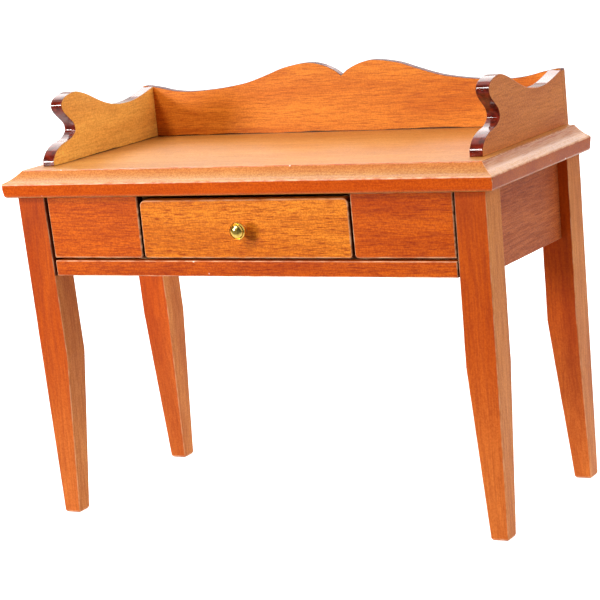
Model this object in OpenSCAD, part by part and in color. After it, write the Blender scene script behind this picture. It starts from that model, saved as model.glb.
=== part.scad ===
// Miniature dressing table, doll's house scale: a moulded top on four
// tapered legs, a scrolled gallery round three sides, and one small drawer
// between two fixed panels. Every board is a solid of its own.
//
// Millimetres, +Z up, +X to the right as the sitter sees it, front faces -Y.
// The origin is on the floor, in the middle of the overall footprint.

/* [Table top] */
// Width of the top, nose to nose
top_w = 100; // [92:0.5:112]
// Depth of the top, nose to plain rear edge
top_d = 44.2; // [40:0.2:52]
// Thickness of the top
top_t = 4.8; // [4.2:0.1:6]
// Height of the underside of the top above the floor
under_z = 61.1; // [56:0.1:70]
// Radius of the two front corners in plan
corner_r = 0.4; // [0.4:0.1:2]

/* [Edge moulding] */
// Inset of the lower edge from the nose
mould_low_in = 0.85; // [0.75:0.05:1.4]
// Radius that rounds the lower edge
mould_low_r = 0.6; // [0.3:0.05:0.7]
// Height of the nose above the underside
mould_nose_z = 2.4; // [1.4:0.05:2.5]
// Inset of the crisp arris above the nose
mould_arris_in = 0.2; // [0.15:0.05:0.7]
// Height of the arris above the underside
mould_arris_z = 2.75; // [2.7:0.05:3.1]
// Inset of the flat of the top, where the sloping cove ends
mould_flat_in = 2.95; // [2.2:0.05:4]
// Depth of the small step between the cove and the flat
mould_quirk = 0.15; // [0.1:0.05:0.3]
// Hollow of the cove below a straight slope
mould_hollow = 0.22; // [0:0.02:0.3]

/* [Legs] */
// Distance of a leg's outer side face from the middle, at the top
leg_x = 47.8; // [44:0.1:48.4]
// Section of a leg above the taper, square
leg_sq = 5.9; // [5:0.1:7]
// Section of a leg at the floor, square
foot_sq = 3.35; // [2.6:0.05:4.5]
// Height at which the two inner faces start to taper
taper_z = 30.7; // [20:0.1:40]
// Inward lean of the left pair of legs, sideways run per unit of height
lean_left = 0.040; // [0:0.005:0.05]
// Inward lean of the right pair of legs, sideways run per unit of height
lean_right = 0.015; // [0:0.005:0.05]
// Setback of the front legs' front faces from the front nose
leg_front_in = 1.8; // [1:0.1:3]
// Setback of the rear legs' rear faces from the rear edge of the top
leg_rear_in = 0.5; // [0.2:0.1:2]
// Chamfer round the bottom of each foot
foot_chamfer = 0.3; // [0.1:0.1:0.6]

/* [Aprons and front] */
// Height of the lower edge of the aprons and the rail above the floor
apron_z = 46.1; // [42:0.1:50]
// Thickness of the aprons
apron_t = 2; // [1.5:0.1:2.6]
// Setback of an apron behind the outer faces of its legs
apron_in = 2; // [1:0.1:2.6]
// Setback of the panels, the drawer front and the rail behind the leg fronts
front_in = 0.3; // [0:0.1:1]
// Thickness of the two fixed panels and of the rail
panel_t = 2; // [1.5:0.1:2.6]
// Height of the lower rail
rail_h = 2.9; // [2.2:0.1:3.4]
// Gap between the rail and the panels and drawer above it
rail_gap = 0.45; // [0.3:0.05:0.8]
// Gap between the front's outer ends and the legs
leg_gap = 0.35; // [0.2:0.05:0.6]
// Thickness of the shelf that the drawer runs on
shelf_t = 1.5; // [1:0.1:2]
// Thickness of the two boards that guide the drawer
guide_t = 2; // [1.5:0.1:3]

/* [Drawer] */
// Width of the drawer front
drawer_w = 42.7; // [36:0.1:46]
// Offset of the drawer's middle to the right
drawer_x = 0.15; // [0:0.05:0.5]
// Height of the drawer front
drawer_h = 10.65; // [9.8:0.05:10.9]
// Thickness of the drawer front
drawer_front_t = 2.2; // [1.8:0.1:2.8]
// Length of the drawer behind its front
drawer_len = 32; // [26:0.5:33]
// Thickness of the drawer's sides, back and bottom
drawer_wall = 1.2; // [1:0.1:1.6]
// Height of the drawer's sides
drawer_side_h = 8.6; // [7:0.1:9]
// Running clearance on each side of the drawer
drawer_clear = 0.3; // [0.2:0.05:0.4]
// Radius of the drawer front's upper corners
drawer_top_r = 1.1; // [0.5:0.1:1.6]
// Radius of the lower corners of the drawer front and the panels beside it
lower_r = 0.7; // [0.3:0.1:1]
// Pulled-out distance of the drawer, for viewing
drawer_open = 0; // [0:1:26]

/* [Knob] */
// Diameter of the knob's domed head
knob_d = 3.25; // [2.6:0.05:3.6]
// Thickness of the head, along the pull
head_t = 2; // [1.4:0.1:2.4]
// Diameter of the collar behind the head
collar_d = 1.3; // [1.2:0.1:2.4]
// Reach of the knob in front of the drawer
knob_out = 3; // [2.8:0.1:4.4]
// Diameter of the pin through the drawer front
pin_d = 0.9; // [0.6:0.1:1.2]

/* [Gallery] */
// Thickness of the scrolled boards at the two ends
bracket_t = 2.5; // [1.8:0.1:3]
// Distance of their outer faces from the middle
bracket_x = 45.2; // [42:0.1:46]
// Thickness of the long board along the back
board_t = 1.6; // [1.3:0.1:2.4]
// Steps in each stretch of a scroll
scroll_steps = 5; // [3:1:8]

/* [Hidden] */

LEFT = -1;
RIGHT = 1;
GLUE = 0.03;          // glue line between faces that lean differently
REACH = 200;          // longer than anything, for cutting shapes

// Depths: the nose of the top, then planes behind it
knob_proud = knob_out - leg_front_in - front_in;
nose_y = knob_proud - (knob_proud + top_d + board_t) / 2;
rear_y = nose_y + top_d;
leg_front_y = nose_y + leg_front_in;
leg_rear_y = rear_y - leg_rear_in;
face_y = leg_front_y + front_in;
panel_back_y = face_y + panel_t;
front_leg_back_y = leg_front_y + leg_sq;
rear_leg_front_y = leg_rear_y - leg_sq;

// Heights
top_z = under_z + top_t;
rail_top_z = apron_z + rail_h;
panel_z = rail_top_z + rail_gap;

// Drawer box
box_x0 = drawer_x - drawer_w / 2;
box_x1 = drawer_x + drawer_w / 2;
box_y0 = face_y + drawer_front_t;
box_z = rail_top_z + 0.1;
box_back_y = box_y0 + drawer_len;
knob_z = panel_z + drawer_h / 2;
pin_len = 1.4;
pin_clear = 0.03;
panel_gap = drawer_clear + 0.1;

// Scrolled outline of an end board: distance behind the nose of the top and
// height above it. It starts at the foot of the toe, turns into the cove,
// rises over the lobe and sweeps back to the rear corner.
toe_y = 7.5;
bracket_front = [
    [toe_y, 0], [7.6, 1.2], [8.9, 2.7], [11.1, 3.7], [13.8, 4.3],
    [15.4, 5.2], [15.7, 6], [15.3, 7.1], [14, 8.2], [12.5, 9.5],
    [12, 10.8], [12.8, 11.9], [14.7, 12.6], [17.2, 12.8], [20.3, 12],
    [23.2, 10.8], [26.2, 9.6], [29, 8.8]
];
bracket_rear = [[29, 8.8], [32.5, 8.4], [36.7, 8.5], [40.6, 9.2], [top_d, 10.1]];

// Top edge of the long board, from the notch in the middle to one end:
// distance from the middle and height above the top
board_scroll = [
    [0, 10.7], [1.6, 11.9], [4.3, 13], [7.4, 13.45], [12.2, 12.75],
    [15.7, 11.65], [19.2, 10.55], [22.5, 9.8], [28, 9.1], [34, 8.8],
    [38, 9.1], [41.3, 9.8], [44.6, 10.3], [bracket_x, 9.9]
];
board_h = max([for (p = board_scroll) p[1]]);

// ---- curves ----

// One point of a Catmull-Rom curve between b and c
function blend_point(a, b, c, d, t) =
    (2 * b + (c - a) * t + (2 * a - 5 * b + 4 * c - d) * t * t
        + (3 * b - a - 3 * c + d) * t * t * t) / 2;

// Smooth curve through every point of a list
function scroll(p, n = scroll_steps) = [
    for (i = [0 : len(p) - 2], k = [0 : n - 1])
        blend_point(p[max(i - 1, 0)], p[i], p[i + 1],
            p[min(i + 2, len(p) - 1)], k / n),
    p[len(p) - 1]
];

// Points of a round corner, swept from angle a0 to a1
function corner(cx, cy, r, a0, a1, n = 6) = [
    for (k = [0 : n]) let (a = a0 + (a1 - a0) * k / n)
        [cx + r * cos(a), cy + r * sin(a)]
];

function reversed(p) = [for (i = [len(p) - 1 : -1 : 0]) p[i]];

// Moulded edge as [inset, height], from the underside to the flat
function moulding() = concat(
    [for (k = [0 : 5]) let (a = 18 * k)
        [mould_low_in - mould_low_r * sin(a), mould_low_r * (1 - cos(a))]],
    [for (k = [0 : 3]) let (a = 20 * k)
        [mould_arris_in * (1 - cos(a)) / (1 - cos(60)),
            mould_nose_z + (mould_arris_z - mould_nose_z) * sin(a) / sin(60)]],
    [for (k = [1 : 6]) let (t = k / 6)
        [mould_arris_in + (mould_flat_in - mould_arris_in) * t,
            mould_arris_z + (top_t - mould_quirk - mould_arris_z) * t
                - 4 * mould_hollow * t * (1 - t)]],
    [[mould_flat_in, top_t]]
);

// Outer side face of a leg at height z
function lean(side) = side == LEFT ? lean_left : lean_right;
function leg_out(side, z) = side * (leg_x - lean(side) * (under_z - z));
function leg_in(side, z) = leg_out(side, z) - side * leg_sq;

// ---- helpers ----

// Outline drawn in X and Z, running from y0 to y1
module along_y(y0, y1)
    translate([0, y1, 0]) rotate([90, 0, 0])
        linear_extrude(height = y1 - y0) children();

// Outline drawn in Y and Z, running from x0 to x1
module along_x(x0, x1)
    translate([x0, 0, 0]) rotate([90, 0, 90])
        linear_extrude(height = x1 - x0) children();

module box(x0, x1, y0, y1, z0, z1)
    translate([x0, y0, z0]) cube([x1 - x0, y1 - y0, z1 - z0]);

module slide_out() translate([0, -drawer_open, 0]) children();

// ---- top and gallery ----

// Outline of the top in plan, with its front corners rounded
module top_plan() {
    h = top_w / 2;
    polygon(concat(
        corner(-h + corner_r, nose_y + corner_r, corner_r, 180, 270),
        corner(h - corner_r, nose_y + corner_r, corner_r, 270, 360),
        [[h, rear_y], [-h, rear_y]]
    ));
}

// Moulded along the front and both ends, mitred at the corners, plain behind
module table_top() color("peru") intersection() {
    along_x(-top_w / 2, top_w / 2) polygon(concat(
        [for (p = moulding()) [nose_y + p[0], under_z + p[1]]],
        [[rear_y, top_z], [rear_y, under_z]]
    ));
    along_y(nose_y, rear_y) polygon(concat(
        [for (p = moulding()) [-top_w / 2 + p[0], under_z + p[1]]],
        [for (p = reversed(moulding())) [top_w / 2 - p[0], under_z + p[1]]]
    ));
    translate([0, 0, under_z]) linear_extrude(height = top_t) top_plan();
}

// Long board glued behind the top, with a double-humped scroll
module gallery_board() {
    half = scroll(board_scroll);
    color("chocolate") along_y(rear_y, rear_y + board_t) polygon(concat(
        [for (p = reversed(half)) [-p[0], top_z + p[1]]],
        [for (i = [1 : len(half) - 1]) [half[i][0], top_z + half[i][1]]],
        [[bracket_x, under_z], [-bracket_x, under_z]]
    ));
}

// End board standing on the top, up against the long board
module gallery_bracket(side) {
    x = side * (bracket_x - bracket_t / 2);
    edge = concat(scroll(bracket_front), scroll(bracket_rear));
    color("sienna")
        along_x(x - bracket_t / 2, x + bracket_t / 2) polygon(concat(
            [for (p = edge) [nose_y + p[0], top_z + p[1]]],
            [[rear_y, top_z]]
        ));
}

// ---- legs ----

// Square leg, straight outside and tapered on its two inner faces
module leg(side, y_out, to_middle) {
    slim = foot_sq - foot_chamfer;
    color("chocolate") intersection() {
        along_y(-REACH, REACH) polygon([
            [leg_out(side, under_z), under_z],
            [leg_in(side, under_z), under_z],
            [leg_in(side, taper_z), taper_z],
            [leg_out(side, foot_chamfer) - side * foot_sq, foot_chamfer],
            [leg_out(side, 0) - side * slim, 0],
            [leg_out(side, 0) - side * foot_chamfer, 0],
            [leg_out(side, foot_chamfer), foot_chamfer]
        ]);
        along_x(-REACH, REACH) polygon([
            [y_out, under_z],
            [y_out + to_middle * leg_sq, under_z],
            [y_out + to_middle * leg_sq, taper_z],
            [y_out + to_middle * foot_sq, foot_chamfer],
            [y_out + to_middle * slim, 0],
            [y_out + to_middle * foot_chamfer, 0],
            [y_out, foot_chamfer]
        ]);
    }
}

// ---- aprons and front ----

// Board between a front and a rear leg, leaning with them
module side_apron(side) {
    function face(z) = leg_out(side, z) - side * apron_in;
    color("chocolate") along_y(front_leg_back_y, rear_leg_front_y) polygon([
        [face(apron_z), apron_z],
        [face(under_z), under_z],
        [face(under_z) - side * apron_t, under_z],
        [face(apron_z) - side * apron_t, apron_z]
    ]);
}

// Upright board between the two rear legs
module rear_apron() {
    y = leg_rear_y - apron_in;
    color("chocolate") along_y(y - apron_t, y) polygon([
        [leg_in(LEFT, apron_z) + GLUE, apron_z],
        [leg_in(RIGHT, apron_z) - GLUE, apron_z],
        [leg_in(RIGHT, under_z) - GLUE, under_z],
        [leg_in(LEFT, under_z) + GLUE, under_z]
    ]);
}

// Fixed panel between a leg and the drawer, glued under the top
module front_panel(side) {
    inner = side == LEFT ? box_x0 - panel_gap : box_x1 + panel_gap;
    bend = corner(inner + side * lower_r, panel_z + lower_r, lower_r,
        270, side == LEFT ? 360 : 180);
    color("orangered") along_y(face_y, panel_back_y) polygon(concat(
        [[leg_in(side, panel_z) - side * leg_gap, panel_z]],
        bend,
        [[inner, under_z]],
        [[leg_in(side, under_z) - side * leg_gap, under_z]]
    ));
}

// Narrow rail under the panels and the drawer
module lower_front_rail() color("orangered")
    along_y(face_y, panel_back_y) polygon([
        [leg_in(LEFT, apron_z) + leg_gap, apron_z],
        [leg_in(RIGHT, apron_z) - leg_gap, apron_z],
        [leg_in(RIGHT, rail_top_z) - leg_gap, rail_top_z],
        [leg_in(LEFT, rail_top_z) + leg_gap, rail_top_z]
    ]);

// Shelf that the drawer runs on, notched round the front legs
module drawer_shelf() {
    z0 = rail_top_z - shelf_t;
    wide = leg_x - apron_in - apron_t - 0.7;
    narrow = leg_x - leg_sq - 0.7;
    back = leg_rear_y - apron_in - apron_t;
    color("burlywood") translate([0, 0, z0]) linear_extrude(height = shelf_t)
        polygon([
            [-narrow, panel_back_y], [narrow, panel_back_y],
            [narrow, front_leg_back_y + 0.1], [wide, front_leg_back_y + 0.1],
            [wide, rear_leg_front_y - 0.1], [narrow, rear_leg_front_y - 0.1],
            [narrow, back], [-narrow, back],
            [-narrow, rear_leg_front_y - 0.1], [-wide, rear_leg_front_y - 0.1],
            [-wide, front_leg_back_y + 0.1], [-narrow, front_leg_back_y + 0.1]
        ]);
}

// Upright board beside the drawer, between the shelf and the top
module drawer_guide(side) {
    edge = side == LEFT ? box_x0 - drawer_clear : box_x1 + drawer_clear;
    x = edge + side * guide_t / 2;
    color("burlywood") box(x - guide_t / 2, x + guide_t / 2,
        panel_back_y, leg_rear_y - apron_in - apron_t, rail_top_z, under_z);
}

// ---- drawer ----

module drawer_front_outline() {
    top = panel_z + drawer_h;
    polygon(concat(
        corner(box_x0 + lower_r, panel_z + lower_r, lower_r, 180, 270),
        corner(box_x1 - lower_r, panel_z + lower_r, lower_r, 270, 360),
        corner(box_x1 - drawer_top_r, top - drawer_top_r, drawer_top_r, 0, 90),
        corner(box_x0 + drawer_top_r, top - drawer_top_r, drawer_top_r, 90, 180)
    ));
}

module knob_axis() translate([drawer_x, face_y, knob_z]) rotate([90, 0, 0])
    children();

module drawer_front() color("sandybrown") slide_out() difference() {
    along_y(face_y, box_y0) drawer_front_outline();
    knob_axis() translate([0, 0, -pin_len - 0.1])
        cylinder(h = pin_len + 1, d = pin_d + 2 * pin_clear, $fn = 32);
}

module drawer_side(side) {
    x = side == LEFT ? box_x0 : box_x1 - drawer_wall;
    color("burlywood") slide_out()
        box(x, x + drawer_wall, box_y0, box_back_y,
            box_z, box_z + drawer_side_h);
}

module drawer_back() color("burlywood") slide_out()
    box(box_x0 + drawer_wall, box_x1 - drawer_wall,
        box_back_y - drawer_wall, box_back_y,
        box_z, box_z + drawer_side_h - 1);

module drawer_bottom() color("burlywood") slide_out()
    box(box_x0 + drawer_wall, box_x1 - drawer_wall,
        box_y0, box_back_y - drawer_wall, box_z, box_z + drawer_wall);

// Turned brass head, domed on both sides, on a slim collar, with a pin into
// the drawer front
module drawer_knob() color("gold") slide_out() knob_axis() union() {
    cylinder(h = knob_out - head_t / 2, d = collar_d, $fn = 48);
    translate([0, 0, knob_out - head_t / 2]) rotate_extrude($fn = 48)
        polygon([for (k = [0 : 24]) let (a = 7.5 * k - 90)
            [k % 24 == 0 ? 0 : knob_d / 2 * cos(a), head_t / 2 * sin(a)]]);
    translate([0, 0, -pin_len]) cylinder(h = pin_len + 1, d = pin_d, $fn = 32);
}

// ---- the table ----

table_top();
gallery_board();
gallery_bracket(LEFT);  // left_gallery_bracket
gallery_bracket(RIGHT);  // right_gallery_bracket
leg(LEFT, leg_front_y, 1);  // front_left_leg
leg(RIGHT, leg_front_y, 1);  // front_right_leg
leg(LEFT, leg_rear_y, -1);  // rear_left_leg
leg(RIGHT, leg_rear_y, -1);  // rear_right_leg
side_apron(LEFT);  // left_side_apron
side_apron(RIGHT);  // right_side_apron
rear_apron();
front_panel(LEFT);  // left_front_panel
front_panel(RIGHT);  // right_front_panel
lower_front_rail();
drawer_shelf();
drawer_guide(LEFT);  // left_drawer_guide
drawer_guide(RIGHT);  // right_drawer_guide
drawer_front();
drawer_side(LEFT);  // drawer_left_side
drawer_side(RIGHT);  // drawer_right_side
drawer_back();
drawer_bottom();
drawer_knob();
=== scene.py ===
"""Miniature dressing table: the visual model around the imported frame.

Metres, +Z up, and the front faces -Y."""

import math
import bmesh
import bpy
from mathutils import Matrix, Vector, noise


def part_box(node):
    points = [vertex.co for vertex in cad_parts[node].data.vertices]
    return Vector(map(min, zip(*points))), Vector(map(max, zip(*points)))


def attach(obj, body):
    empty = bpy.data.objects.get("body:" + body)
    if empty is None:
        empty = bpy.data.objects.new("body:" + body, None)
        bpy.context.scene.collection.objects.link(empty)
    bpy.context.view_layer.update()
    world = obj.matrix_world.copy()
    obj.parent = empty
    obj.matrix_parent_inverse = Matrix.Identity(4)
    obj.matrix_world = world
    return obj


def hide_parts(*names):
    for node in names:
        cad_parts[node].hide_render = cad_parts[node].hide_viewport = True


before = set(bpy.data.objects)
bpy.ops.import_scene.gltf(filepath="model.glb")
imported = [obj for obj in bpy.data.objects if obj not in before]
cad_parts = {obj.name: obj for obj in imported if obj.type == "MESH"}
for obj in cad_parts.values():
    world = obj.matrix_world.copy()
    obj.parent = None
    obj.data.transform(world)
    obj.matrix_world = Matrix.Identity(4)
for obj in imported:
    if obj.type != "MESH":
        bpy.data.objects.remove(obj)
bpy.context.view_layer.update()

MM = 0.001
ARRIS = "arris"                       # vertex attribute: 1 on the rounded edges
SCENE = bpy.context.scene

# ---------------------------------------------------------------- camera

NOSE_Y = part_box("table_top")[0][1]    # front edge of the table top
CAM_PLACE = (0.2047, NOSE_Y - 0.33918, 0.1185)
CAM_TURN = 29.67      # degrees from +Y towards -X
CAM_DOWN = 11.02      # degrees below the horizon
CAM_ROLL = -5.53      # degrees about the line of sight
CAM_LENS = 136.5      # mm on a 36 mm sensor


def make_camera():
    """The camera at the photograph's viewing angle."""
    cam = bpy.data.cameras.new("camera")
    cam.lens, cam.sensor_width = CAM_LENS, 36
    cam.clip_start, cam.clip_end = 0.01, 20
    ob = bpy.data.objects.new("camera", cam)
    SCENE.collection.objects.link(ob)
    ob.matrix_world = (
        Matrix.Translation(CAM_PLACE)
        @ Matrix.Rotation(math.radians(CAM_TURN), 4, "Z")
        @ Matrix.Rotation(math.radians(90 - CAM_DOWN), 4, "X")
        @ Matrix.Rotation(math.radians(CAM_ROLL), 4, "Z")
    )
    SCENE.camera = ob


# ---------------------------------------------------------------- shader helper


class Shader:
    """A material whose nodes are written as short calls.

    A value may be a number, a tuple or another node's socket."""

    def __init__(self, name):
        self.mat = bpy.data.materials.new(name)
        self.mat.use_nodes = True
        self.tree = self.mat.node_tree
        self.bsdf = self.tree.nodes["Principled BSDF"]
        self.coords = self.tree.nodes.new("ShaderNodeTexCoord")
        self.place = self.coords.outputs["Object"]
        self.normal = self.coords.outputs["Normal"]

    def put(self, socket, value):
        if isinstance(value, bpy.types.NodeSocket):
            self.tree.links.new(value, socket)
        else:
            socket.default_value = value

    def add(self, kind, inputs, output=0, **settings):
        n = self.tree.nodes.new(kind)
        for key, value in settings.items():
            setattr(n, key, value)
        for key, value in inputs.items():
            self.put(n.inputs[key], value)
        return n.outputs[output]

    def math(self, op, *values):
        return self.add("ShaderNodeMath", dict(enumerate(values)), operation=op)

    def times(self, first, *others):
        """The product of two or more values."""
        for other in others:
            first = self.math("MULTIPLY", first, other)
        return first

    def stretch(self, per_m, shift=(0, 0, 0)):
        """The object's own coordinates times per_m on each axis."""
        inputs = {"Vector": self.place, "Scale": per_m, "Location": shift}
        return self.add("ShaderNodeMapping", inputs)

    def noise(self, vector, detail=2.0, rough=0.5, twist=0.0):
        inputs = {"Vector": vector, "Scale": 1.0, "Detail": detail, "Roughness": rough}
        inputs["Distortion"] = twist
        return self.add("ShaderNodeTexNoise", inputs, output="Fac")

    def span(self, value, lo, hi, to_lo=0.0, to_hi=1.0, smooth=True):
        return self.add(
            "ShaderNodeMapRange",
            {"Value": value, "From Min": lo, "From Max": hi, "To Min": to_lo, "To Max": to_hi},
            interpolation_type="SMOOTHSTEP" if smooth else "LINEAR",
        )

    def axis(self, vector, name):
        return self.add("ShaderNodeSeparateXYZ", {0: vector}, output="XYZ".index(name))

    def facing(self, name, lo, hi):
        """1 where the surface looks along the named axis, either way, and 0 where it doesn't."""
        return self.span(self.math("ABSOLUTE", self.axis(self.normal, name)), lo, hi)

    def mix(self, fac, a, b, blend="MIX"):
        n = self.tree.nodes.new("ShaderNodeMix")
        n.data_type, n.blend_type = "RGBA", blend
        self.put(n.inputs[0], fac)
        self.put(n.inputs[6], colour(a))
        self.put(n.inputs[7], colour(b))
        return n.outputs[2]

    def shaded(self, amount, ground, by):
        """The ground multiplied by another colour, by the given amount."""
        return self.mix(amount, ground, self.mix(1.0, ground, by, "MULTIPLY"))

    def number(self, fac, a, b):
        return self.add("ShaderNodeMix", {0: fac, 2: a, 3: b}, data_type="FLOAT")

    def bump(self, height, depth):
        return self.add("ShaderNodeBump", {"Height": height, "Distance": depth})


def colour(value):
    """A socket or a linear RGBA as it is, and an sRGB triple of 0 to 255 as linear RGBA."""
    if isinstance(value, bpy.types.NodeSocket) or len(value) == 4:
        return value
    shares = [c / 255 for c in value]
    linear = [c / 12.92 if c <= 0.0404 else ((c + 0.055) / 1.055) ** 2.4 for c in shares]
    return (*linear, 1.0)


# ---------------------------------------------------------------- wood


def along(axis, with_grain, across):
    """Scale triple in 1/m: with_grain on the named axis and across on the others."""
    return tuple(with_grain if a == axis else across for a in "XYZ")


# factors on the stain's colour
LIGHTER = (1.12, 1.26, 1.45, 1)
DARKER = (0.82, 0.68, 0.52, 1)
IN_STREAK = (0.72, 0.58, 0.44, 1)
IN_PORE = (0.55, 0.32, 0.18, 1)
# colours over the stain; the arris, cutter line, joint and gap colours carry painted highlight,
# sheen and shade
# rubbed finish on the arrises, partly a painted highlight
WORN_AND_HIGHLIT_ARRIS = (250, 196, 150)
# the cutter's lines in the hollow of the moulding, partly a painted sheen
CUTTER_LINE_AND_SHEEN = (208, 150, 110)
SPECK = (255, 240, 225)
# painted shade along the joints
JOINT_SHADE = (38, 14, 6)
# painted shade in the gaps beside the panels
GAP_SHADE = (104, 38, 13)
THICK_LACQUER = ((74, 14, 6), (132, 36, 18))

FOOT_GLOW_FADE = 0.002, 0.040          # m: heights between which the feet's paler tone, a painted glow of floor light, fades out
WHOLLY_BROAD = 0.6, 0.85              # facing range of a sawn board's broad faces
LACQUER_ROUGHNESS = 0.09
SPECK_CELLS = (330, 330, 330)         # per metre
SHEEN_TINT = (1, 0.78, 0.5, 1)


def tone_by_face(s, tone, front, side, foot_glow, gap_z):
    """The tone on each side of a board, with painted light on some: haze on sides, shade in gaps,
    glow on feet.
    """
    ground = colour(tone)
    # Paler feet: a painted glow of light from the floor.
    if foot_glow:
        foot, top = FOOT_GLOW_FADE
        ground = s.mix(s.span(s.axis(s.place, "Z"), top, foot), ground, foot_glow)
    if front:
        ground = s.mix(s.facing("Y", 0.45, 1.0), ground, front)
    if side:
        ground = s.mix(s.facing("X", 0.45, 0.75), ground, side)
    # Dark inner faces of the front legs: painted shade in the gap beside the panels.
    if gap_z:
        inward = s.math("LESS_THAN", s.times(s.axis(s.normal, "X"), s.axis(s.place, "X")), -0.01)
        above = s.math("GREATER_THAN", s.axis(s.place, "Z"), gap_z)
        in_front = s.math("LESS_THAN", s.axis(s.place, "Y"), 0.0)
        ground = s.mix(s.times(inward, above, in_front), ground, GAP_SHADE)
    return ground


def cutter_lines_and_sheen(s, ground, run, shift):
    """Fine lines along the run axis in the hollow of the moulding at the board's ends: cutter marks,
    with a painted sheen that keeps the hollow pale between them too.
    """
    lines = s.noise(s.stretch(along(run, 200, 4200), shift), detail=4, rough=0.75)
    hollow = s.math("SUBTRACT", s.facing("X", 0.2, 0.6), s.facing("X", 0.86, 0.96))
    return s.mix(s.times(s.span(lines, 0.40, 0.60, 0.15, 0.8), hollow), ground, CUTTER_LINE_AND_SHEEN)


def worn_and_highlit_crest(s, ground, crest_z, amount):
    """A pale line at the height crest_z: the finish rubbed through, and partly a painted highlight
    on the arris.
    """
    rise = s.math("SUBTRACT", s.axis(s.place, "Z"), crest_z)
    crest = s.times(s.span(rise, -0.2 * MM, -0.08 * MM), s.span(rise, 0.2 * MM, 0.08 * MM))
    return s.mix(s.times(crest, amount), ground, WORN_AND_HIGHLIT_ARRIS)


def sawn_edge(s, sawn):
    """1 on the sawn outline of a board whose broad faces look along the sawn axis."""
    if sawn == "Y":
        return s.facing("Z", 0.15, 0.4)       # the long board's plain ends stay stained
    return s.math("SUBTRACT", 1.0, s.facing(sawn, *WHOLLY_BROAD))


def joint_shade_line(s, ground, joint_z, sawn, shift):
    """A dark, uneven line of painted shade along the joint, at the foot of the broad faces, but not
    behind.
    """
    rise = s.math("SUBTRACT", s.axis(s.place, "Z"), joint_z)
    reach = s.noise(s.stretch((160, 160, 0), shift), detail=2)
    reach = s.span(reach, 0.3, 0.7, 0.06 * MM, 0.26 * MM)
    line = s.span(s.math("SUBTRACT", rise, reach), 0.06 * MM, -0.02 * MM)
    not_behind = s.math("LESS_THAN", s.axis(s.normal, "Y"), 0.3)
    line = s.times(line, s.facing(sawn, *WHOLLY_BROAD), not_behind)
    return s.mix(s.times(line, 0.92), ground, JOINT_SHADE)


def dust_specks(s, ground, share, shift):
    """Small pale specks in the given share of the cells, on upright faces."""
    dots = s.tree.nodes.new("ShaderNodeTexVoronoi")
    s.put(dots.inputs["Vector"], s.stretch(SPECK_CELLS, shift))
    dots.inputs["Scale"].default_value = 1.0
    chosen = s.span(s.axis(dots.outputs["Color"], "X"), 1 - share, 1 - share + 0.01)
    upright = s.span(s.facing("Z", 0.5, 0.9), 1, 0, smooth=False)
    inside = s.span(dots.outputs["Distance"], 0.085, 0.045)
    return s.mix(s.times(inside, chosen, upright), ground, SPECK)


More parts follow.
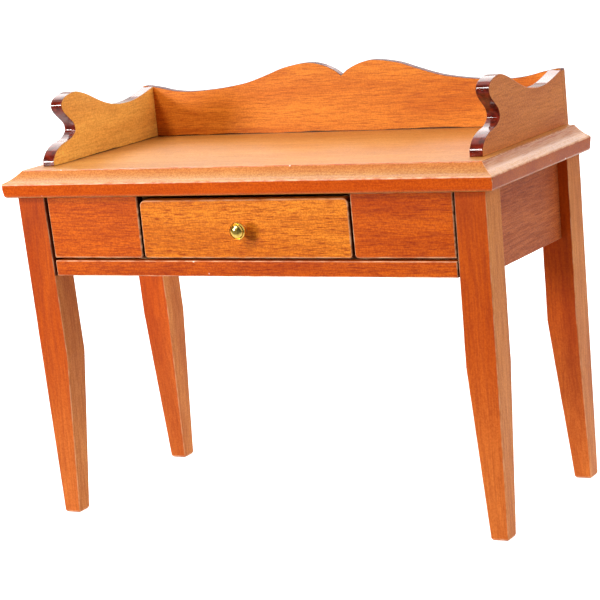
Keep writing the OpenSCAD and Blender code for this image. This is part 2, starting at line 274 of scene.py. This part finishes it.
def wood(name, grain, tone, seed, figure=0.5, streaks=0.5, pores=0.5, grit=0.5, rough=0.38,
         edge_rough=None, gloss=0.22, haze=0.0, wear_and_highlight=0.6, fibre_bump=1.0, front=None, side=None,
         foot_glow=None, gap_z=None, side_lines=None, sawn=None, joint_z=None, crest_z=None, specks=0.0):
    """Stained and lacquered wood with its grain along one axis, with the painted highlight, sheen
    and shade that some arguments add.

    figure, streaks, pores, grit   how strongly the broad figure, the fine streaks, the short
                                   dark pores and the fine speckle of the stain show
    rough, edge_rough, gloss       roughness of the flat and of the other faces, specular level
    haze, wear_and_highlight       sheen; pale rubbed finish along the arrises, partly a painted
                                   highlight
    fibre_bump                     depth of the fibres
    front, side, foot_glow         tone of the faces that look along Y, along X, and of the feet:
                                   the legs' paler sides are painted haze, the panels' dark sides
                                   and partly the drawer front's are painted shade in the gaps,
                                   and the feet's paler tone is a painted glow of floor light
    gap_z                          height above which the front legs' inner faces are painted
                                   dark, as shade in the gap
    side_lines                     axis of the cutter's lines in the moulding at the ends, with a
                                   painted sheen of the hollow
    sawn                           axis of a scrolled board's broad faces: its edges are end
                                   grain under thick dark lacquer
    joint_z, crest_z               heights of a line of painted shade along the joint, and of a
                               rubbed arris that is partly a painted highlight
    specks                         share of the cells with a dust speck in the lacquer"""
    s = Shader(name)
    shift = (seed * 1.37, seed * 2.11, seed * 0.73)
    broad = s.noise(s.stretch(along(grain, 22, 160), shift), detail=3, twist=0.6)
    streak = s.noise(s.stretch(along(grain, 150, 2600), shift), detail=4, rough=0.65)
    fibre = s.noise(s.stretch(along(grain, 420, 6500), shift), detail=2, rough=0.6)
    dash = s.noise(s.stretch(along(grain, 420, 8600), shift), detail=1, rough=0.5, twist=0.05)
    sand = s.noise(s.stretch((3200, 3200, 3200), shift), detail=2, rough=0.6)
    pore = s.span(dash, 0.55, 0.63)

    ground = tone_by_face(s, tone, front, side, foot_glow, gap_z)
    ground = s.shaded(figure, ground, s.mix(s.span(broad, 0.3, 0.7), DARKER, LIGHTER))
    ground = s.shaded(s.span(streak, 0.38, 0.66, 0.0, streaks), ground, IN_STREAK)
    ground = s.shaded(grit, ground, s.mix(s.span(sand, 0.34, 0.66), DARKER, LIGHTER))
    ground = s.shaded(s.times(pore, pores), ground, IN_PORE)
    # Pale lines in the hollow: cutter marks, with a painted sheen.
    if side_lines:
        ground = cutter_lines_and_sheen(s, ground, side_lines, shift)

    # Pale rounded edges: rubbed finish, and partly a painted highlight.
    arris = s.add("ShaderNodeAttribute", {}, output="Fac", attribute_name=ARRIS)
    patch = s.noise(s.stretch(along(grain, 420, 900), shift), detail=3)
    patch = s.span(patch, 0.36, 0.64, 0.3, 1.0)
    ground = s.mix(s.times(arris, patch, wear_and_highlight), ground, WORN_AND_HIGHLIT_ARRIS)
    # A pale line on the top's arris: rubbed finish and painted highlight.
    if crest_z:
        ground = worn_and_highlit_crest(s, ground, crest_z, s.times(patch, 0.75 * wear_and_highlight))

    height = s.math("MULTIPLY_ADD", fibre, 0.6, s.times(pore, -0.5 * pores))
    roughness = s.span(streak, 0.3, 0.7, rough - 0.05, rough + 0.06)
    if edge_rough:
        roughness = s.number(s.facing("Z", 0.8, 0.98), edge_rough, roughness)
    if sawn:
        edge = sawn_edge(s, sawn)
        mottle = s.noise(s.stretch((900, 900, 900), shift), detail=4, rough=0.65)
        ground = s.mix(edge, ground, s.mix(s.span(mottle, 0.35, 0.7), *THICK_LACQUER))
        roughness = s.number(edge, roughness, LACQUER_ROUGHNESS)
    # A painted line of shade along the joint with the top.
    if joint_z:
        ground = joint_shade_line(s, ground, joint_z, sawn, shift)
    if specks:
        ground = dust_specks(s, ground, specks, shift)

    s.put(s.bsdf.inputs["Base Color"], ground)
    s.put(s.bsdf.inputs["Roughness"], roughness)
    s.put(s.bsdf.inputs["Normal"], s.bump(height, 0.010 * MM * fibre_bump))
    s.bsdf.inputs["Specular IOR Level"].default_value = gloss
    if haze:
        s.bsdf.inputs["Sheen Weight"].default_value = haze
        s.bsdf.inputs["Sheen Roughness"].default_value = 0.45
        s.bsdf.inputs["Sheen Tint"].default_value = SHEEN_TINT
    return s.mat


def bare_wood(name, grain, seed):
    """Pale unfinished wood of the drawer box and what carries it."""
    s = Shader(name)
    shift = (seed * 1.9, seed * 0.7, seed * 1.3)
    streak = s.noise(s.stretch(along(grain, 30, 700), shift), detail=3, rough=0.6)
    fibre = s.noise(s.stretch(along(grain, 250, 5000), shift), detail=2)
    ground = s.mix(s.span(streak, 0.3, 0.7), (196, 158, 112), (224, 192, 148))
    ground = s.mix(s.span(fibre, 0.5, 0.8, 0, 0.4), ground, (160, 118, 76))
    s.put(s.bsdf.inputs["Base Color"], ground)
    s.put(s.bsdf.inputs["Roughness"], s.span(fibre, 0.3, 0.7, 0.6, 0.78))
    s.put(s.bsdf.inputs["Normal"], s.bump(fibre, 0.02 * MM))
    return s.mat


def brass(name):
    """Polished brass, slightly hazed."""
    s = Shader(name)
    haze = s.noise(s.stretch((2500, 2500, 2500)), detail=3, rough=0.6)
    ground = s.mix(s.span(haze, 0.3, 0.7), (228, 186, 84), (250, 218, 118))
    s.put(s.bsdf.inputs["Base Color"], ground)
    s.bsdf.inputs["Metallic"].default_value = 1.0
    s.put(s.bsdf.inputs["Roughness"], s.span(haze, 0.3, 0.75, 0.14, 0.26))
    s.put(s.bsdf.inputs["Normal"], s.bump(haze, 0.006 * MM))
    return s.mat


# ---------------------------------------------------------------- meshes


KNOB_HEAD_HALF = 1.0 * MM     # half the head's thickness
KNOB_NECK = 0.6 * MM          # the neck's radius
KNOB_SUNK = -0.3 * MM         # where the neck starts, inside the drawer front
KNOB_NECK_OUT = 0.35 * MM     # where it stops, in front of it
SAME_PLACE = 1e-6        # m
WANDER_PER_M = 420       # how closely the wandering of an edge follows on itself
CHIPS_PER_M = 900        # the same for the chips
BEVEL_FROM = 28          # degrees: edges sharper than this are rounded
BEVEL_AFTER_FRONT = 40   # degrees: the same, once the front's rounding has added edges
CHIP_FROM = 0.45         # noise value above which an edge is chipped


def flat_faces(node):
    """A CAD node's shape with its flat faces whole again, as a bmesh."""
    bm = bmesh.new()
    bm.from_mesh(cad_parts[node].data)
    bmesh.ops.remove_doubles(bm, verts=bm.verts, dist=SAME_PLACE)
    flat = math.radians(0.5)
    bmesh.ops.dissolve_limit(bm, angle_limit=flat, verts=bm.verts, edges=bm.edges)
    return bm


def ease_edges(bm, width, front=None):
    """Rounds the sharp edges: those on the front face by front, if given, the rest by width."""
    layer = bm.verts.layers.float.new(ARRIS)
    y_min = min(v.co.y for v in bm.verts)
    limit = math.radians(BEVEL_FROM)
    rounds = [(front, True), (width, False)] if front else [(width, None)]
    for size, at_front in rounds:
        chosen = []
        for e in bm.edges:
            if len(e.link_faces) != 2 or e.calc_face_angle(0) < limit:
                continue
            on_front = all(abs(v.co.y - y_min) < SAME_PLACE for v in e.verts)
            if at_front is None or on_front == at_front:
                chosen.append(e)
        if not chosen:
            continue
        made = bmesh.ops.bevel(
            bm, geom=chosen, offset=size, offset_type="OFFSET", segments=3,
            profile=0.5, affect="EDGES", clamp_overlap=True,
        )
        strip = set(made["faces"])
        for v in made["verts"]:
            if v.is_valid and all(f in strip for f in v.link_faces):
                v[layer] = 1.0
        if at_front:
            limit = math.radians(BEVEL_AFTER_FRONT)
    return layer


def slice_across(bm, axis, step):
    """Cuts the mesh square to axis every step metres, so that long edges can wander."""
    k = "XYZ".index(axis)
    lo, hi = min(v.co[k] for v in bm.verts), max(v.co[k] for v in bm.verts)
    n = Vector([float(i == k) for i in range(3)])
    for i in range(1, int((hi - lo) / step)):
        everything = bm.verts[:] + bm.edges[:] + bm.faces[:]
        bmesh.ops.bisect_plane(
            bm, geom=everything, plane_co=n * (lo + i * step), plane_no=n, dist=SAME_PLACE / 10
        )


def wander(bm, layer, size, seed, chips=0.0):
    """Moves the rounded edges a little, as hand sanding leaves them, with a few small chips."""
    bm.normal_update()
    for v in bm.verts:
        weight = v[layer]
        if weight <= 0:
            continue
        p = v.co * WANDER_PER_M + Vector((seed * 3.1, seed * 1.7, seed * 2.3))
        amount = noise.noise(p) * size
        bite = noise.noise(v.co * CHIPS_PER_M + Vector((seed, 7.0, 3.0)))
        if bite > CHIP_FROM:
            amount -= chips * (bite - CHIP_FROM) * 2
        v.co += v.normal * amount * weight


def finish_piece(bm, name, node, body, material, sharp=35):
    """The bmesh as an object of the scene that replaces the CAD node and rides on its body."""
    me = bpy.data.meshes.new(name)
    bm.to_mesh(me)
    bm.free()
    me.materials.append(material)
    for p in me.polygons:
        p.use_smooth = True
    me.set_sharp_from_angle(angle=math.radians(sharp))
    ob = bpy.data.objects.new(name, me)
    SCENE.collection.objects.link(ob)
    mod = ob.modifiers.new("faces", "WEIGHTED_NORMAL")
    mod.keep_sharp = True
    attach(ob, body)
    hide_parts(node)
    return ob


def board(node, body, material, width, seed, axis="X", front=None, step=1.5 * MM,
          size=0.03 * MM, chips=0.0):
    """One board of the table, from its CAD shape, with eased and slightly uneven edges.

    width and front are how far the edges are rounded, axis is the board's length, step the
    spacing of the cuts across it, and size and chips how far its edges wander and chip."""
    bm = flat_faces(node)
    layer = ease_edges(bm, width, front)
    slice_across(bm, axis, step)
    wander(bm, layer, size, seed, chips)
    return finish_piece(bm, node + "_wood", node, body, material)


def knob_outline(rim, mid):
    """Radius and distance in front of the drawer, from the drawer outwards.

    rim is the head's radius, and mid how far its rim stands out from the drawer."""
    half = KNOB_HEAD_HALF
    outline = [(0.0, KNOB_SUNK), (KNOB_NECK, KNOB_SUNK), (KNOB_NECK, KNOB_NECK_OUT)]
    for i in range(16):                   # back of the head and its rounded rim
        a = math.radians(-62 + 92 * i / 15)
        outline.append((rim * math.cos(a), mid + half * 0.8 * math.sin(a)))
    dome, groove = rim * 0.80, mid + half * 0.24
    outline.append((dome * 1.02, groove))
    for i in range(22):                   # the dome in front
        a = math.radians(4 + 86 * i / 21)
        outline.append((dome * math.cos(a), groove + (mid + half - groove) * math.sin(a)))
    outline[-1] = (0.0, mid + half)
    return outline


def turned(outline, cx, face, cz, turns=72):
    """The outline turned about an axis along Y, as a closed bmesh."""
    bm = bmesh.new()
    angles = [2 * math.pi * k / turns for k in range(turns)]
    rings = []
    for r, d in outline:
        if r < SAME_PLACE:
            ring = [(cx, face - d, cz)]
        else:
            ring = [(cx + r * math.cos(t), face - d, cz + r * math.sin(t)) for t in angles]
        rings.append([bm.verts.new(p) for p in ring])
    for a, b in zip(rings, rings[1:]):
        for k in range(turns):
            m = (k + 1) % turns
            if len(a) == 1:
                bm.faces.new((a[0], b[k], b[m]))
            elif len(b) == 1:
                bm.faces.new((a[m], a[k], b[0]))
            else:
                bm.faces.new((a[m], a[k], b[k], b[m]))
    bmesh.ops.recalc_face_normals(bm, faces=bm.faces)
    return bm


def knob(node, body, material):
    """Turned knob: a slim neck, and a head whose dome stands in a fine groove inside its rim."""
    lo, hi = (Vector(c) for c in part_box(node))
    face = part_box("drawer_front")[0][1]
    rim = (hi.x - lo.x) / 2
    mid = face - lo.y - KNOB_HEAD_HALF
    bm = turned(knob_outline(rim, mid), (lo.x + hi.x) / 2, face, (lo.z + hi.z) / 2)
    return finish_piece(bm, "drawer_knob_brass", node, body, material, sharp=50)


# ---------------------------------------------------------------- stage


LIGHTS_AIM = Vector((0, 0, 0.045))
# name: turn and height in degrees, distance, width and height in metres, watts
LIGHTS = {
    "key_low": (37, 12, 0.7, 0.15, 0.12, 3.2),
    "key_high": (26, 38, 0.7, 0.16, 0.14, 2.7),
    "back_sky": (150, 42, 0.8, 0.9, 0.5, 5.2),
    "top_left": (88, 58, 0.8, 0.4, 0.4, 0.55),
    "right_fill": (-108, 18, 0.8, 0.5, 0.35, 1.35),
}


def area_light(name, turn, up, far, wide, tall, power):
    """A white soft box aimed at the table.

    turn is degrees from the front towards the left, and up degrees above the horizon."""
    data = bpy.data.lights.new(name, "AREA")
    data.shape = "RECTANGLE"
    data.size, data.size_y = wide, tall
    data.energy = power
    ob = bpy.data.objects.new(name, data)
    SCENE.collection.objects.link(ob)
    t, u = math.radians(turn), math.radians(up)
    to = Vector((-math.sin(t) * math.cos(u), -math.cos(t) * math.cos(u), math.sin(u)))
    ob.location = LIGHTS_AIM + to * far
    ob.rotation_euler = to.to_track_quat("Z", "Y").to_euler()


WORLD_TOWARDS = (0.45, 0.80, 0.38)      # the bright side of the room: behind and to the right
WORLD_LEVELS = {"From Min": -0.15, "From Max": 0.45, "To Min": 0.07, "To Max": 1.0}
WHITE = (1, 1, 1, 1)


def make_world():
    """White to the camera; as light, bright behind and right of the table and dim before it."""
    world = bpy.data.worlds.new("studio")
    SCENE.world = world
    world.use_nodes = True
    tree = world.node_tree
    back = tree.nodes["Background"]
    coord = tree.nodes.new("ShaderNodeTexCoord")
    side = tree.nodes.new("ShaderNodeVectorMath")
    side.operation = "DOT_PRODUCT"
    side.inputs[1].default_value = WORLD_TOWARDS
    tree.links.new(coord.outputs["Generated"], side.inputs[0])
    ramp = tree.nodes.new("ShaderNodeMapRange")
    ramp.interpolation_type = "SMOOTHSTEP"
    for key, value in WORLD_LEVELS.items():
        ramp.inputs[key].default_value = value
    tree.links.new(side.outputs["Value"], ramp.inputs["Value"])
    path = tree.nodes.new("ShaderNodeLightPath")
    seen = tree.nodes.new("ShaderNodeMix")
    seen.data_type = "FLOAT"
    tree.links.new(path.outputs["Is Camera Ray"], seen.inputs[0])
    tree.links.new(ramp.outputs["Result"], seen.inputs[2])
    seen.inputs[3].default_value = 1.0
    tree.links.new(seen.outputs[0], back.inputs["Strength"])
    back.inputs["Color"].default_value = WHITE


FLOOR_BEHIND, FLOOR_BEFORE = (0.5, 0.5, 0.5, 1), (0.10, 0.10, 0.10, 1)
FLOOR_SIZE = 4        # m from its middle to its sides


def make_floor():
    """Plain white to the camera; as a light, dim in front of the table and to its right."""
    s = Shader("floor_paper")
    lit = s.span(s.axis(s.place, "Y"), -0.15, -0.03)
    lit = s.times(lit, s.span(s.axis(s.place, "X"), 0.06, 0.2, 1.0, 0.2))
    s.put(s.bsdf.inputs["Base Color"], s.mix(lit, FLOOR_BEFORE, FLOOR_BEHIND))
    s.bsdf.inputs["Roughness"].default_value = 0.9
    s.bsdf.inputs["Specular IOR Level"].default_value = 0.0
    s.bsdf.inputs["Emission Color"].default_value = WHITE
    path = s.tree.nodes.new("ShaderNodeLightPath")
    glow = s.span(lit, 0, 1, 0.02, 0.45, smooth=False)
    seen = s.number(path.outputs["Is Camera Ray"], glow, 1.0)
    s.put(s.bsdf.inputs["Emission Strength"], seen)
    bm = bmesh.new()
    bmesh.ops.create_grid(bm, x_segments=1, y_segments=1, size=FLOOR_SIZE)
    me = bpy.data.meshes.new("floor")
    bm.to_mesh(me)
    bm.free()
    me.materials.append(s.mat)
    ob = bpy.data.objects.new("floor", me)
    SCENE.collection.objects.link(ob)


# ---------------------------------------------------------------- build

make_camera()
make_world()
make_floor()
for light, place in LIGHTS.items():
    area_light(light, *place)
SCENE.view_settings.view_transform = "Standard"

TOP_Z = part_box("table_top")[1][2]
CREST_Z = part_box("table_top")[0][2] + 2.58 * MM      # arris between the moulding's hollow and nose
FRAME_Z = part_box("lower_front_rail")[0][2]

# The flat's tone is paler than the front's: partly a painted haze of light reflected off the top.
TOP = wood(
    "top_stain", "X", (206, 138, 62), 1, figure=0.5, streaks=0.45, pores=0.15, grit=0.8,
    rough=0.34, edge_rough=0.22, gloss=0.25, wear_and_highlight=1.0, side=(184, 84, 12), front=(212, 88, 11),
    side_lines="Y", crest_z=CREST_Z, specks=0.22,
)
BOARD = wood(
    "gallery_stain", "X", (226, 130, 38), 2, figure=0.9, streaks=0.7, gloss=0.15, wear_and_highlight=0.3,
    side=(205, 122, 62), sawn="Y", joint_z=TOP_Z,
)
BRACKETS = {
    # The left bracket is stained paler than the right: painted light on its inner face.
    "left": wood(
        "left_bracket_stain_and_painted_light", "Y", (255, 188, 82), 3, figure=0.7, pores=0.25, grit=0.6,
        rough=0.45, gloss=0.4, haze=0.1, wear_and_highlight=0.15, sawn="X", joint_z=TOP_Z,
    ),
    "right": wood(
        "right_bracket_stain", "Y", (212, 120, 40), 9, figure=0.6, pores=0.3, grit=1.0,
        rough=0.5, gloss=0.4, haze=0.1, wear_and_highlight=0.15, sawn="X",
    ),
}
# The legs' paler sides paint the haze of reflected light, their paler feet a glow of floor light,
# and the front legs' dark inner faces the shade in the gap.
LEG = wood(
    "leg_stain", "Z", (188, 76, 11), 4, figure=0.9, streaks=0.7, pores=0.1, rough=0.36,
    gloss=0.12, haze=0.08, wear_and_highlight=0.45, side=(204, 120, 54), foot_glow=(194, 98, 34), gap_z=FRAME_Z,
)
APRON_LOOK = dict(
    figure=0.9, streaks=0.9, pores=0.7, grit=1.0, rough=0.45, wear_and_highlight=0.4, fibre_bump=2.0
)
APRON = wood("apron_stain", "Y", (184, 90, 36), 5, haze=0.12, **APRON_LOOK)
REAR = wood("rear_apron_stain", "X", (188, 94, 40), 6, **APRON_LOOK)
# The panels' nearly black sides paint the shade in the gaps beside the drawer and the legs.
PANEL = wood(
    "panel_stain", "X", (204, 88, 11), 7, figure=0.9, streaks=0.8, pores=0.7, grit=0.8,
    gloss=0.12, wear_and_highlight=0.8, side=(44, 15, 5), specks=0.05,
)
# The drawer front's dark sides are its end grain, darkened further as painted shade for the gaps.
DRAWER = wood(
    "drawer_stain", "X", (232, 131, 32), 8, figure=0.7, streaks=0.8, pores=1.0, grit=0.8,
    gloss=0.12, wear_and_highlight=0.7, side=(112, 46, 14),
)
INNER_Y = bare_wood("bare_wood_lengthwise", "Y", 9)
INNER_X = bare_wood("bare_wood_crosswise", "X", 10)
BRASS = brass("polished_brass")

board("table_top", "table", TOP, 0.15 * MM, 1, size=0.016 * MM, chips=0.08 * MM)
board("gallery_board", "table", BOARD, 0.10 * MM, 2)
for side, seed in (("left", 3), ("right", 4)):
    bracket = f"{side}_gallery_bracket"
    board(bracket, "table", BRACKETS[side], 0.10 * MM, seed, axis="Y")
legs = ("front_left_leg", "front_right_leg", "rear_left_leg", "rear_right_leg")
for seed, leg in enumerate(legs, start=10):
    board(leg, "table", LEG, 0.28 * MM, seed, axis="Z")
for side, seed in (("left", 20), ("right", 21)):
    apron, panel, guide = f"{side}_side_apron", f"{side}_front_panel", f"{side}_drawer_guide"
    board(apron, "table", APRON, 0.14 * MM, seed, axis="Y")
    board(panel, "table", PANEL, 0.12 * MM, seed + 5, front=0.35 * MM, size=0.05 * MM)
    board(guide, "table", INNER_Y, 0.08 * MM, seed + 7, axis="Y", step=4 * MM)
board("rear_apron", "table", REAR, 0.14 * MM, 30)
board(
    "lower_front_rail", "table", PANEL, 0.12 * MM, 31,
    front=0.22 * MM, step=1.0 * MM, size=0.08 * MM, chips=0.1 * MM,
)
board("drawer_shelf", "table", INNER_X, 0.1 * MM, 32, step=4 * MM)

board(
    "drawer_front", "drawer", DRAWER, 0.12 * MM, 33,
    front=0.32 * MM, size=0.04 * MM,
)
board("drawer_left_side", "drawer", INNER_Y, 0.1 * MM, 34, axis="Y", step=3 * MM)
board("drawer_right_side", "drawer", INNER_Y, 0.1 * MM, 35, axis="Y", step=3 * MM)
board("drawer_back", "drawer", INNER_X, 0.1 * MM, 36, step=3 * MM)
board("drawer_bottom", "drawer", INNER_X, 0.06 * MM, 37, step=4 * MM)
knob("drawer_knob", "drawer", BRASS)
